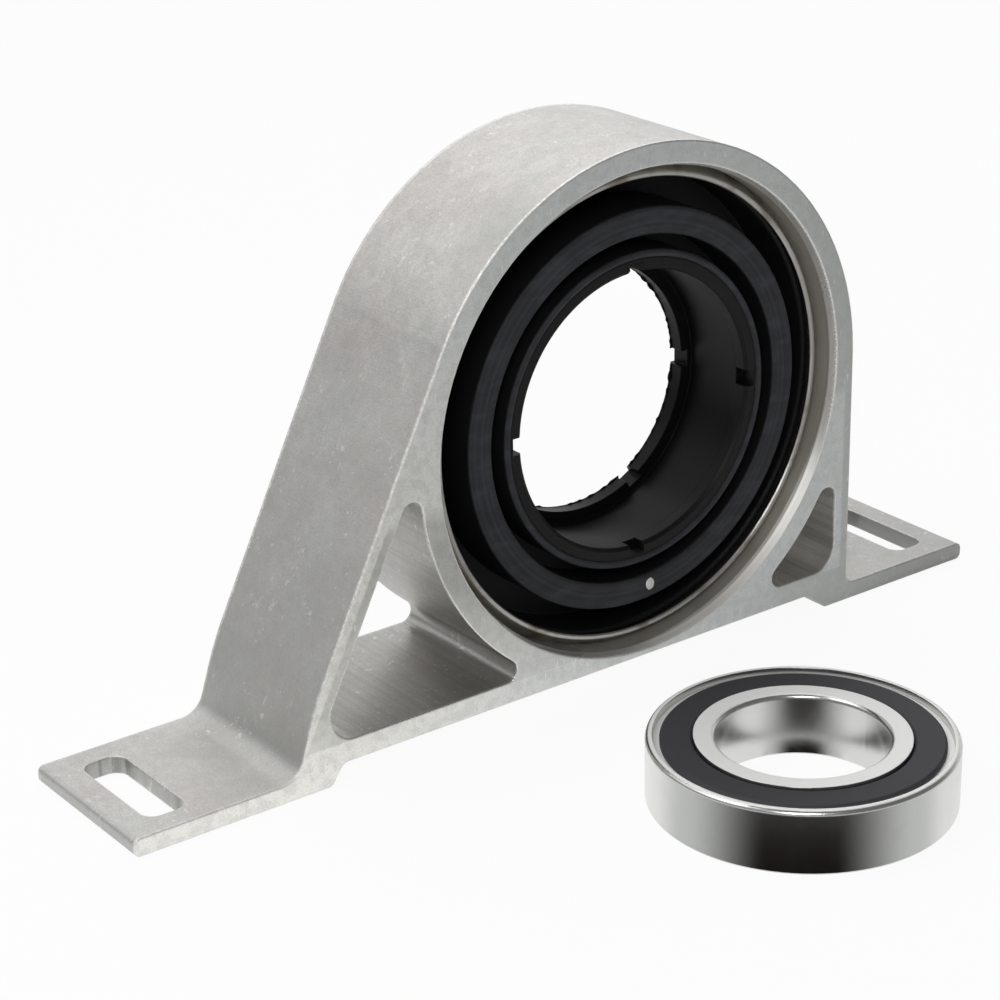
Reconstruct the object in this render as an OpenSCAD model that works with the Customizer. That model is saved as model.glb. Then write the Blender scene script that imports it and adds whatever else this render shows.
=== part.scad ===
// Driveshaft centre bearing: an extruded bracket with a rubber-sprung carrier ring in its bore,
// and the sealed ball bearing of the carrier lying on the same surface in front of it.
// Millimetres. X runs along the feet, Y along the shaft (the front is -Y) and Z is up.
// The origin is on the mounting surface, straight below the middle of the bracket's bore.

/* [Bracket] */
// Length of the bracket along the shaft
bracket_depth = 56; // [48:0.5:80]
// Radius of the bore that takes the sleeve
bore_r = 77; // [74:0.5:90]
// Wall of the ring around the bore
ring_wall = 7.9; // [6:0.1:12]
// How much each mouth of the bore is widened
bore_chamfer = 1; // [0.4:0.1:2]
// Length of the tapered lead-in at each mouth of the bore
bore_lead = 2.7; // [0.5:0.1:5]
// Thinnest wall, straight below the bore
floor_wall = 2.7; // [1.5:0.1:6]
// Thickness of each leg
leg_wall = 5.9; // [4:0.1:8]
// Thickness of the web between the legs, under the windows
web_wall = 6.8; // [4:0.1:8]
// Lean of the left leg from upright, in degrees
left_lean = 26.5; // [15:0.5:32]
// Height at which the left leg turns steeper
toe_h = 27; // [15:0.5:35]
// Lean of the left leg below that height, in degrees
toe_lean = 18.3; // [10:0.1:24]
// Radius of the bend at that height
toe_round_r = 110; // [20:5:160]
// Radius of the tight corners of the windows
window_tip_r = 3.8; // [2:0.1:4.5]
// Radius of the open corner of each window, at the foot of its leg
window_root_r = 8.5; // [4:0.1:10]

/* [Feet] */
// Thickness of the feet
foot_t = 5.6; // [4:0.1:10]
// Height of the web's underside above the mounting surface
web_rise = 6.3; // [3:0.1:9]
// Length of the left foot, out from its leg
left_foot_len = 54.5; // [45:0.5:80]
// Length of the right foot, out from its leg
right_foot_len = 54; // [45:0.5:80]
// Run of the left foot's pad inwards, past the corner of its window
left_pad_in = 9; // [5:0.5:20]
// Run of the right foot's pad inwards, past the corner of its window
right_pad_in = 12; // [5:0.5:20]
// Width of the slope from the left pad up to the web
left_pad_slope = 4.2; // [2:0.1:8]
// Width of the slope from the right pad up to the web
right_pad_slope = 8.6; // [2:0.1:11]
// Fillet between the left leg and its foot
left_fillet_r = 8; // [3:0.5:12]
// Fillet between the right leg and its foot
right_fillet_r = 4; // [2:0.5:10]
// Rounding under the inner edge of each pad
pad_round_r = 2.5; // [0.5:0.1:4]
// Rounding where the slope from a pad meets the web
gap_round_r = 4; // [0.5:0.1:6]
// Rounding of the feet's ends, seen along the shaft
foot_end_r = 2; // [0.5:0.1:2]
// Width of the fixing slots
slot_w = 13.5; // [9:0.1:18]
// End-to-end length of the fixing slots, along the shaft
slot_len = 40; // [22:0.5:44]
// Distance from the end of a foot to the middle of its slot
slot_edge = 16; // [12:0.5:20]
// Corner radius of the fixing slots
slot_corner_r = 4.5; // [2:0.1:4.5]

/* [Sleeve] */
// Wall of the steel sleeve
sleeve_wall = 2; // [1.5:0.1:4]
// Distance from the bracket's faces to the sleeve's ends
sleeve_inset = 6.4; // [2:0.1:8]
// How far the sleeve's front edge is rolled inwards
sleeve_roll = 2.4; // [1:0.1:5]
// Length of the rolled edge
sleeve_roll_len = 4; // [2:0.1:6]
// Broken edge of the sleeve's rims
sleeve_edge = 0.5; // [0.2:0.1:1]

/* [Cushion] */
// Rubber skin on the carrier and in the sleeve
skin_t = 2.5; // [1.5:0.1:3]
// How far the rubber skin stands out in front of the carrier
skin_out = 0.6; // [0.2:0.1:1.5]
// Width of the crest of the convolution
crest_w = 8.7; // [7:0.1:11]
// Shift of the crest from mid-way towards the shaft
crest_shift = 2; // [0:0.1:3]
// Distance from the bracket's front to the crest
crest_inset = 5.2; // [3:0.1:8]
// Thickness of the rubber in the crest's walls
crest_wall = 2.3; // [1.5:0.1:3]
// Thickness of the rubber in the two troughs
trough_t = 5; // [3:0.1:7]
// Distance from the bracket's front to the inner trough
inner_trough = 20; // [14:0.5:24]
// Distance from the bracket's front to the outer trough
outer_trough = 26; // [18:0.5:30]
// Rounding of the rubber's edges
rubber_round = 1.2; // [0.6:0.1:1.2]

/* [Carrier] */
// Wall of the carrier ring around the bearing's seat
carrier_wall = 3.3; // [2.6:0.1:5]
// Distance from the bracket's front to the carrier
carrier_inset = 5.6; // [3:0.1:9]
// Length of the front lip
front_lip_len = 5.6; // [3:0.1:7]
// How far the front lip stands in over the bearing
front_lip_catch = 0.7; // [0.3:0.1:1.5]
// Length of the rear lip
rear_lip_len = 6.3; // [3:0.1:8]
// How far the rear lip stands in behind the bearing
rear_lip_catch = 4.3; // [2:0.1:6]
// End play of the bearing between the lips
seat_play = 1.5; // [0.2:0.1:3]
// Number of notches in the front lip
front_notches = 4; // [2:1:6]
// Number of notches in the rear lip
rear_notches = 6; // [2:1:8]
// Width of the notches
notch_w = 5.4; // [3:0.1:8]
// Depth of the notches in the front lip
front_notch_deep = 3.2; // [1:0.1:3.5]
// Depth of the notches in the rear lip
rear_notch_deep = 2.4; // [1:0.1:2.5]
// Chamfer on the carrier's edges
carrier_chamfer = 1; // [0.4:0.1:1.5]

/* [Ball bearing] */
// Radius of the outer race
bearing_r = 45; // [42:0.5:48]
// Radius of the bore for the shaft
shaft_r = 25; // [20:0.5:26]
// Width of the races
bearing_w = 20; // [18.5:0.5:24]
// Rounding of the races, outside and at the bore
race_round = 1.5; // [0.6:0.1:2]
// Radius of the balls
ball_r = 6.35; // [5:0.05:6.5]
// Gap between the shoulders of the two races
shoulder_gap = 7.5; // [6.5:0.1:8.5]
// Running clearance of the balls in the raceways
race_clear = 0.05; // [0.02:0.01:0.08]
// How much wider than the balls the raceways are ground
race_open = 0.25; // [0.1:0.05:0.4]
// Radial depth of the seals' seats in the outer race
seal_seat = 2.1; // [1.5:0.1:2.5]
// Thickness of the seals
seal_t = 1.7; // [1:0.1:1.8]
// Recess of the seals below the race faces
seal_inset = 0.5; // [0.3:0.1:0.8]
// Clearance between the seals and the inner race
seal_clear = 0.35; // [0.2:0.05:0.6]
// Bevel at the edges of the seals
seal_bevel = 0.7; // [0.3:0.1:0.9]
// Thickness of the cage's sheet
cage_t = 1; // [0.6:0.1:1.1]
// Width of the cage, from its inner to its outer edge
cage_w = 4; // [3:0.1:5]
// Clearance of the balls in the cage
cage_clear = 0.15; // [0.1:0.01:0.2]
// Radius of the cage's rivets
rivet_r = 0.8; // [0.5:0.05:1]
// Radius of the rivets' heads
rivet_head_r = 1.4; // [1.1:0.05:1.6]
// Height of the rivets' heads
rivet_head_t = 0.7; // [0.4:0.05:1]

/* [Place of the ball bearing] */
// Space between the bracket's front and the bearing
bearing_gap = 45; // [10:1:120]
// Place of the bearing's axis along the feet
bearing_x = -18; // [-120:1:80]

/* [Hidden] */
$fn = 96;
BALLS = 10;
// How far a cutting shape runs past what it cuts
OVER = 1;
// How far a round reaches past the edges that it touches, so that it crosses them cleanly
ROUND_OVER = 0.01;

ring_r = bore_r + ring_wall;
axis_h = web_rise + floor_wall + bore_r;
web_top = web_rise + web_wall;
front_y = -bracket_depth / 2;

// Left leg: the outer line touches the ring, and turns steeper at the toe.
top_left = [-ring_r * (1 - sin(left_lean)) / cos(left_lean), axis_h + ring_r];
top_right = [ring_r, axis_h + ring_r];
toe = [-(ring_r + (axis_h - toe_h) * sin(left_lean)) / cos(left_lean), toe_h];
left_heel = [toe[0] - (toe_h - foot_t) * tan(toe_lean), foot_t];
left_up = toe - left_heel;
right_heel = [ring_r, foot_t];
left_end = left_heel[0] - left_foot_len;
right_end = right_heel[0] + right_foot_len;

// Height of the bore's axis above the windows' lower edges, and reach of the legs' inner lines
window_drop = axis_h - web_top;
leg_reach = ring_r - leg_wall;

// Corners of the gap under the web
left_gap = -window_corner(left_lean)[0] + left_pad_in;
right_gap = window_corner(0)[0] - right_pad_in;

sleeve_in = bore_r - sleeve_wall;
sleeve_front = sleeve_inset + sleeve_roll_len;
sleeve_back = bracket_depth - sleeve_inset;

carrier_r = bearing_r + carrier_wall;
front_lip_r = bearing_r - front_lip_catch;
rear_lip_r = bearing_r - rear_lip_catch;
seat_front = carrier_inset + front_lip_len;
seat_back = seat_front + bearing_w + seat_play;
carrier_back = seat_back + rear_lip_len;

cushion_in = carrier_r + skin_t;
cushion_out = sleeve_in - skin_t;
crest_mid = (cushion_in + cushion_out) / 2 - crest_shift;

// The balls run mid-way between the shaft's bore and the outside of the bearing.
pitch_r = (bearing_r + shaft_r) / 2;
inner_shoulder = pitch_r - shoulder_gap / 2;
outer_shoulder = pitch_r + shoulder_gap / 2;
raceway_r = ball_r + race_open;
seal_out = outer_shoulder + seal_seat;
seal_in = inner_shoulder + seal_clear;
seal_depth = seal_inset + seal_t;
pocket_r = ball_r + cage_clear;
bearing_y = front_y - bearing_gap - bearing_r;

// Where a leg's inner line meets the lower edge of its window, for a leg that leans out to +X.
function window_corner(lean) =
    [(leg_reach + window_drop * sin(lean)) / cos(lean), web_top];

function unit(v) = v / norm(v);

// Half the angle between two edges, and the middle of a round of radius r between them.
function half_angle(a, b) = acos(unit(a) * unit(b)) / 2;
function round_centre(corner, a, b, r) = corner + unit(unit(a) + unit(b)) * r / sin(half_angle(a, b));

// Outline of a fillet before its round is cut: where it starts on the foot (b), its middle,
// and where it ends on the leg (a).
function foot_round(corner, a, b, r) =
    let (run = r / tan(half_angle(a, b)))
    [corner + unit(b) * run, round_centre(corner, a, b, r), corner + unit(a) * run];

// Places a shape that is drawn around Z on the bore's axis, with its zero at the bracket's front.
module on_bore_axis() {
    translate([0, front_y, axis_h])
        rotate([-90, 0, 0])
            children();
}

// Places a shape that is drawn around Z and its own middle on the axis of the ball bearing.
module on_bearing_axis() {
    translate([bearing_x, bearing_y, bearing_w / 2])
        children();
}

// What lies between a round at centre and the corner that it rounds, where the round touches the
// two edges at touch_a and touch_b. It runs a little past the edges.
module corner_piece(corner, touch_a, touch_b, centre, r) {
    past = (r + OVER) / r;
    difference() {
        polygon([for (p = [centre, touch_a, corner, touch_b]) centre + (p - centre) * past]);
        translate(centre)
            circle(r = r + ROUND_OVER);
    }
}

// Corner piece between two straight edges, which run from the corner along a and b.
module edge_corner(corner, a, b, r) {
    run = r / tan(half_angle(a, b));
    corner_piece(corner, corner + unit(a) * run, corner + unit(b) * run, round_centre(corner, a, b, r), r);
}

// Corner piece between the ring and a straight edge, which the round at centre touches.
module ring_corner(corner, touch, centre) {
    axis = [0, axis_h];
    on_ring = axis + (centre - axis) * ring_r / (ring_r + window_tip_r);
    corner_piece(corner, touch, on_ring, centre, window_tip_r);
}

// Window between the ring, a leg that leans out to +X and the web.
module window(lean) {
    axis = [0, axis_h];
    out = [cos(lean), sin(lean)];
    down = [sin(lean), -cos(lean)];
    root = window_corner(lean);
    top = axis + out * leg_reach + down * sqrt(pow(ring_r, 2) - pow(leg_reach, 2));
    tip = [sqrt(pow(ring_r, 2) - pow(window_drop, 2)), web_top];
    round_r = ring_r + window_tip_r;
    top_out = leg_reach - window_tip_r;
    top_round = axis + out * top_out + down * sqrt(pow(round_r, 2) - pow(top_out, 2));
    tip_drop = window_drop - window_tip_r;
    tip_round = [sqrt(pow(round_r, 2) - pow(tip_drop, 2)), axis_h - tip_drop];
    difference() {
        polygon([top, root, tip]);
        translate(axis)
            circle(r = ring_r);
        edge_corner(root, -down, [-1, 0], window_root_r);
        ring_corner(top, top_round + out * window_tip_r, top_round);
        ring_corner(tip, tip_round - [0, window_tip_r], tip_round);
    }
}

// Gap under the web, between the pads of the feet.
module web_gap() {
    left_rise = [left_pad_slope, web_rise];
    right_rise = [-right_pad_slope, web_rise];
    left_pad = [left_gap, web_rise] - left_rise;
    right_pad = [right_gap, web_rise] - right_rise;
    difference() {
        polygon([
            left_pad - [0, OVER], left_pad, [left_gap, web_rise],
            [right_gap, web_rise], right_pad, right_pad - [0, OVER]
        ]);
        edge_corner([left_gap, web_rise], -left_rise, [1, 0], gap_round_r);
        edge_corner([right_gap, web_rise], -right_rise, [-1, 0], gap_round_r);
    }
    edge_corner(left_pad, [-1, 0], left_rise, pad_round_r);
    edge_corner(right_pad, [1, 0], right_rise, pad_round_r);
}

// What is cut from the end of a foot at x, where inward points along X to its leg.
module foot_end(x, inward) {
    edge_corner([x, 0], [0, 1], [inward, 0], foot_end_r);
    edge_corner([x, foot_t], [0, -1], [inward, 0], foot_end_r);
}

// Section of the extruded bracket, seen along the shaft.
module bracket_section() {
    left_round = foot_round(left_heel, left_up, [-1, 0], left_fillet_r);
    right_round = foot_round(right_heel, [0, 1], [1, 0], right_fillet_r);
    difference() {
        polygon(concat(
            [[left_end, 0], [left_end, foot_t]], left_round, [toe, top_left, top_right],
            [right_round[2], right_round[1], right_round[0]], [[right_end, foot_t], [right_end, 0]]));
        // The ring's rounded shoulders, the bend of the left leg, and the fillets above the feet
        edge_corner(top_left, toe - top_left, [1, 0], ring_r);
        edge_corner(top_right, [-1, 0], [0, -1], ring_r);
        edge_corner(toe, top_left - toe, -left_up, toe_round_r);
        translate(left_round[1])
            circle(r = left_fillet_r + ROUND_OVER);
        translate(right_round[1])
            circle(r = right_fillet_r + ROUND_OVER);
        translate([0, axis_h])
            circle(r = bore_r);
        window(0);
        mirror([1, 0])
            window(left_lean);
        web_gap();
        foot_end(left_end, 1);
        foot_end(right_end, -1);
    }
}

// Slot through a foot, along the shaft, at x.
module fixing_slot(x) {
    side = slot_w / 2 - slot_corner_r;
    run = slot_len / 2 - slot_corner_r;
    translate([x, 0, -OVER])
        linear_extrude(height = foot_t + 2 * OVER) {
            square([2 * side, slot_len], center = true);
            square([slot_w, 2 * run], center = true);
            for (dx = [-side, side], dy = [-run, run])
                translate([dx, dy])
                    circle(r = slot_corner_r);
        }
}

// Cone that opens the bore's mouth at z, where the hole opens towards side.
module mouth_cone(z, side) {
    run = bore_lead + OVER;
    translate([0, 0, z - side * bore_lead])
        mirror([0, 0, (1 - side) / 2])
            cylinder(r1 = bore_r, r2 = bore_r + bore_chamfer * run / bore_lead, h = run);
}

// Extruded light-alloy bracket with its ring, legs, web and feet in one piece
module bracket() {
    color([0.72, 0.73, 0.72])
        difference() {
            rotate([90, 0, 0])
                linear_extrude(height = bracket_depth, center = true)
                    bracket_section();
            fixing_slot(left_end + slot_edge);
            fixing_slot(right_end - slot_edge);
            on_bore_axis() {
                mouth_cone(0, -1);
                mouth_cone(bracket_depth, 1);
            }
        }
}

// Steel sleeve in the bracket's bore, with its front edge rolled inwards
module outer_sleeve() {
    color([0.6, 0.59, 0.56])
        on_bore_axis()
            rotate_extrude()
                polygon([
                    [bore_r - sleeve_roll, sleeve_inset + sleeve_edge],
                    [bore_r, sleeve_front],
                    [bore_r, sleeve_back],
                    [sleeve_in, sleeve_back],
                    [sleeve_in, sleeve_front],
                    [sleeve_in - sleeve_roll, sleeve_inset + sleeve_edge],
                    [sleeve_in - sleeve_roll + sleeve_edge, sleeve_inset],
                    [bore_r - sleeve_roll - sleeve_edge, sleeve_inset]
                ]);
}

// Rectangle from radius r0 to r1 and from z0 to z1, with its front corners rounded.
module round_front(r0, r1, z0, z1) {
    e = rubber_round;
    translate([r0, z0 + e])
        square([r1 - r0, z1 - z0 - e]);
    translate([r0 + e, z0])
        square([r1 - r0 - 2 * e, e]);
    for (r = [r0 + e, r1 - e])
        translate([r, z0 + e])
            circle(r = e);
}

// Section of the convoluted rubber, from the carrier out to the sleeve.
module cushion_section() {
    crest_in = crest_mid - crest_w / 2;
    crest_out = crest_mid + crest_w / 2;
    hollow_in = crest_in + crest_wall;
    hollow_out = crest_out - crest_wall;
    hollow_r = (hollow_out - hollow_in) / 2;
    round_front(carrier_r, cushion_in, carrier_inset - skin_out, carrier_back);
    round_front(cushion_out, sleeve_in, sleeve_front, sleeve_back);
    difference() {
        union() {
            round_front(crest_in, crest_out, crest_inset, outer_trough + trough_t);
            translate([cushion_in, inner_trough])
                square([crest_mid - cushion_in, trough_t]);
            translate([crest_mid, outer_trough])
                square([cushion_out - crest_mid, trough_t]);
        }
        // Hollow of the crest, open to the rear, with a round end
        translate([hollow_in, crest_inset + crest_wall + hollow_r])
            square([hollow_out - hollow_in, bracket_depth]);
        translate([(hollow_in + hollow_out) / 2, crest_inset + crest_wall + hollow_r])
            circle(r = hollow_r);
        // The crest's inner wall stops at the inner trough
        translate([cushion_in, inner_trough + trough_t])
            square([hollow_out - cushion_in, bracket_depth]);
    }
}

// Convoluted rubber ring, bonded to the carrier and to the sleeve
module rubber_cushion() {
    color([0.13, 0.13, 0.15])
        on_bore_axis()
            rotate_extrude()
                cushion_section();
}

// Notches across a lip of inner radius lip_r, cut outwards by deep, from z0 to z1.
module lip_notches(count, lip_r, deep, z0, z1) {
    for (i = [0 : count - 1])
        rotate([0, 0, i * 360 / count])
            translate([lip_r - OVER, -notch_w / 2, z0])
                cube([deep + OVER, notch_w, z1 - z0]);
}

// Moulded ring that the ball bearing snaps into, with a notched lip at each end of its seat
module bearing_carrier() {
    color([0.2, 0.2, 0.21])
        on_bore_axis()
            difference() {
                rotate_extrude()
                    polygon([
                        [front_lip_r + carrier_chamfer, carrier_inset],
                        [carrier_r, carrier_inset],
                        [carrier_r, carrier_back],
                        [rear_lip_r + carrier_chamfer, carrier_back],
                        [rear_lip_r, carrier_back - carrier_chamfer],
                        [rear_lip_r, seat_back],
                        [bearing_r, seat_back],
                        [bearing_r, seat_front],
                        [front_lip_r, seat_front - front_lip_catch],
                        [front_lip_r, carrier_inset + carrier_chamfer]
                    ]);
                lip_notches(front_notches, front_lip_r, front_notch_deep, carrier_inset - OVER, seat_front);
                lip_notches(rear_notches, rear_lip_r, rear_notch_deep, seat_back, carrier_back + OVER);
            }
}

// Section of a race between the radii r0 and r1, with its two corners at round_r rounded.
module race_section(r0, r1, round_r) {
    h = bearing_w / 2;
    inward = [round_r == r0 ? 1 : -1, 0];
    difference() {
        translate([r0, -h])
            square([r1 - r0, bearing_w]);
        for (side = [-1, 1])
            edge_corner([round_r, side * h], [0, -side], inward, race_round);
    }
}

// Outer race, with its raceway and the seats of both seals
module outer_race() {
    color([0.8, 0.8, 0.79])
        on_bearing_axis()
            rotate_extrude()
                difference() {
                    race_section(outer_shoulder, bearing_r, bearing_r);
                    translate([pitch_r + ball_r + race_clear - raceway_r, 0])
                        circle(r = raceway_r);
                    for (side = [-1, 1])
                        translate([seal_out, side * bearing_w / 2])
                            square([2 * seal_seat, 2 * seal_depth], center = true);
                }
}

// Inner race, which is pressed on the shaft and turns with it
module inner_race() {
    color([0.85, 0.85, 0.84])
        on_bearing_axis()
            rotate_extrude()
                difference() {
                    race_section(shaft_r, inner_shoulder, shaft_r);
                    translate([pitch_r - ball_r - race_clear + raceway_r, 0])
                        circle(r = raceway_r);
                }
}

// Rubber-faced seal ring, seated in the outer race, with its face towards +Z.
module seal() {
    face = bearing_w / 2 - seal_inset;
    color([0.28, 0.28, 0.3])
        rotate_extrude()
            polygon([
                [seal_in, face - seal_t], [seal_out, face - seal_t],
                [seal_out, face - seal_bevel], [seal_out - seal_bevel, face],
                [seal_in + seal_bevel, face], [seal_in, face - seal_bevel]
            ]);
}

// Seal in the bearing's upper side
module seal_upper() {
    on_bearing_axis()
        seal();
}

// Seal in the bearing's lower side
module seal_lower() {
    on_bearing_axis()
        mirror([0, 0, 1])
            seal();
}

// Repeats a shape at each ball's place, or half-way to the next one.
module around_balls(offset_turn = 0) {
    for (i = [0 : BALLS - 1])
        rotate([0, 0, (i + offset_turn) * 360 / BALLS])
            translate([pitch_r, 0, 0])
                children();
}

// Ring between the cage's two edges, from z = 0 up to height h.
module cage_ring(h) {
    rotate_extrude()
        translate([pitch_r - cage_w / 2, 0])
            square([cage_w, h]);
}

// Round bars across the cage, one through each ball's place.
module pocket_bars(r, h) {
    around_balls()
        rotate([0, 90, 0])
            cylinder(r = r, h = h, center = true);
}

// Pressed half of the cage, with its cups towards +Z.
module cage_half() {
    color([0.7, 0.68, 0.62])
        difference() {
            union() {
                cage_ring(cage_t);
                intersection() {
                    cage_ring(pocket_r + 2 * cage_t);
                    pocket_bars(pocket_r + cage_t, 2 * cage_w);
                }
            }
            pocket_bars(pocket_r, 2 * cage_w);
            around_balls(0.5)
                cylinder(r = rivet_r, h = 4 * cage_t, center = true);
        }
}

// Upper half of the ball cage
module cage_upper() {
    on_bearing_axis()
        cage_half();
}

// Lower half of the ball cage
module cage_lower() {
    on_bearing_axis()
        mirror([0, 0, 1])
            cage_half();
}

// Rivets that join the halves of the cage
module cage_rivets() {
    color([0.6, 0.58, 0.54])
        on_bearing_axis()
            around_balls(0.5) {
                cylinder(r = rivet_r, h = 2 * cage_t, center = true);
                for (side = [-1, 1])
                    translate([0, 0, side * (cage_t + rivet_head_t / 2)])
                        cylinder(r = rivet_head_r, h = rivet_head_t, center = true);
            }
}

// Ball at place i of the row
module ball(i) {
    color([0.88, 0.88, 0.88])
        on_bearing_axis()
            rotate([0, 0, i * 360 / BALLS])
                translate([pitch_r, 0, 0])
                    sphere(r = ball_r);
}

bracket();
outer_sleeve();
rubber_cushion();
bearing_carrier();
outer_race();
inner_race();
seal_upper();
seal_lower();
cage_upper();
cage_lower();
cage_rivets();
ball(0);  // ball_01
ball(1);  // ball_02
ball(2);  // ball_03
ball(3);  // ball_04
ball(4);  // ball_05
ball(5);  // ball_06
ball(6);  // ball_07
ball(7);  // ball_08
ball(8);  // ball_09
ball(9);  // ball_10
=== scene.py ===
"""Looks of a driveshaft centre bearing: finishes, small moulded details, studio and camera.

The bracket, its rubber-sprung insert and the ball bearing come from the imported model. Lengths are
metres, in the frame of that model: X along the feet, Y along the shaft with the front at -Y, Z up.
"""

import logging
import math
import random
from dataclasses import dataclass
from enum import Enum

import bmesh
import bpy
from mathutils import Matrix, Quaternion, Vector


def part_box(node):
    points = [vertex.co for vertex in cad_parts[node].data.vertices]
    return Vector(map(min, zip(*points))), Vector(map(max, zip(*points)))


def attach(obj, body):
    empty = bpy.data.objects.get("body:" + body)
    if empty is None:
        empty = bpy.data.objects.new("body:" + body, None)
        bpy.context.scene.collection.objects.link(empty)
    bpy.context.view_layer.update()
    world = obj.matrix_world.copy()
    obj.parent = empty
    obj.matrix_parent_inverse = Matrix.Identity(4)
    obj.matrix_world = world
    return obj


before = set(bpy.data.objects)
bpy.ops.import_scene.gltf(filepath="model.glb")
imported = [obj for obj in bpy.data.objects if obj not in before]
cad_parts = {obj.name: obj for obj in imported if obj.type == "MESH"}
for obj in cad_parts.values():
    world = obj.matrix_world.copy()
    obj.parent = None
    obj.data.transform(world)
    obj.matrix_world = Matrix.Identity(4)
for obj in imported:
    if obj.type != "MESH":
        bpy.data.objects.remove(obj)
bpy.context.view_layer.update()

MM = 0.001
LOG = logging.getLogger("centre_bearing")

Colour = tuple[float, float, float]
Triple = tuple[float, float, float]
Span = tuple[float, float]


class Body(Enum):
    """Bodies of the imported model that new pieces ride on."""

    MOUNTING = "mounting"


class Slot(Enum):
    """Material slots of the record."""

    ALLOY = "bracket_alloy"
    SLEEVE = "sleeve_steel"
    CUSHION = "cushion_rubber"
    CARRIER = "carrier_plastic"
    RACE = "race_steel"
    SEAL = "seal_rubber"
    CAGE = "cage_steel"
    BALL = "ball_steel"


class Around(Enum):
    """Axis that a turned or moulded ring runs around."""

    SHAFT = "y"
    UPRIGHT = "z"


class Blend(Enum):
    """What a Mix node mixes: its type, and the numbers of its two inputs and its output."""

    COLOUR = ("RGBA", 6, 7, 2)
    NORMAL = ("VECTOR", 4, 5, 1)


class Wire:
    """Output socket of a node that takes part in Python expressions."""

    def __init__(self, graph: "Graph", socket: bpy.types.NodeSocket) -> None:
        """Keeps the graph and the socket."""
        self.graph = graph
        self.socket = socket

    def __add__(self, other: "Wire | float") -> "Wire":
        """Sum of two values."""
        return self.graph.math("ADD", self, other)

    def __radd__(self, other: float) -> "Wire":
        """Sum with a number in front."""
        return self.graph.math("ADD", other, self)

    def __sub__(self, other: "Wire | float") -> "Wire":
        """Difference of two values."""
        return self.graph.math("SUBTRACT", self, other)

    def __rsub__(self, other: float) -> "Wire":
        """Difference from a number in front."""
        return self.graph.math("SUBTRACT", other, self)

    def __mul__(self, other: "Wire | float") -> "Wire":
        """Product of two values."""
        return self.graph.math("MULTIPLY", self, other)

    def __rmul__(self, other: float) -> "Wire":
        """Product with a number in front."""
        return self.graph.math("MULTIPLY", other, self)

    def __pow__(self, other: "Wire | float") -> "Wire":
        """Power of a value."""
        return self.graph.math("POWER", self, other)

    def __rpow__(self, other: float) -> "Wire":
        """Power of a number in front."""
        return self.graph.math("POWER", other, self)

    def __abs__(self) -> "Wire":
        """Size of a value without its sign."""
        return self.graph.math("ABSOLUTE", self)

    def rise(self, low: float, high: float) -> "Wire":
        """Smooth step from 0 at low to 1 at high.

        Args:
            low: Value where the step starts.
            high: Value where it ends.

        Returns:
            The step, from 0 to 1.
        """
        settings = {"interpolation_type": "SMOOTHSTEP"}
        return self.graph.add("ShaderNodeMapRange", settings, {0: self, 1: low, 2: high})

    def other(self, name: str) -> "Wire":
        """Another output of the same node."""
        return Wire(self.graph, self.socket.node.outputs[name])


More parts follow.
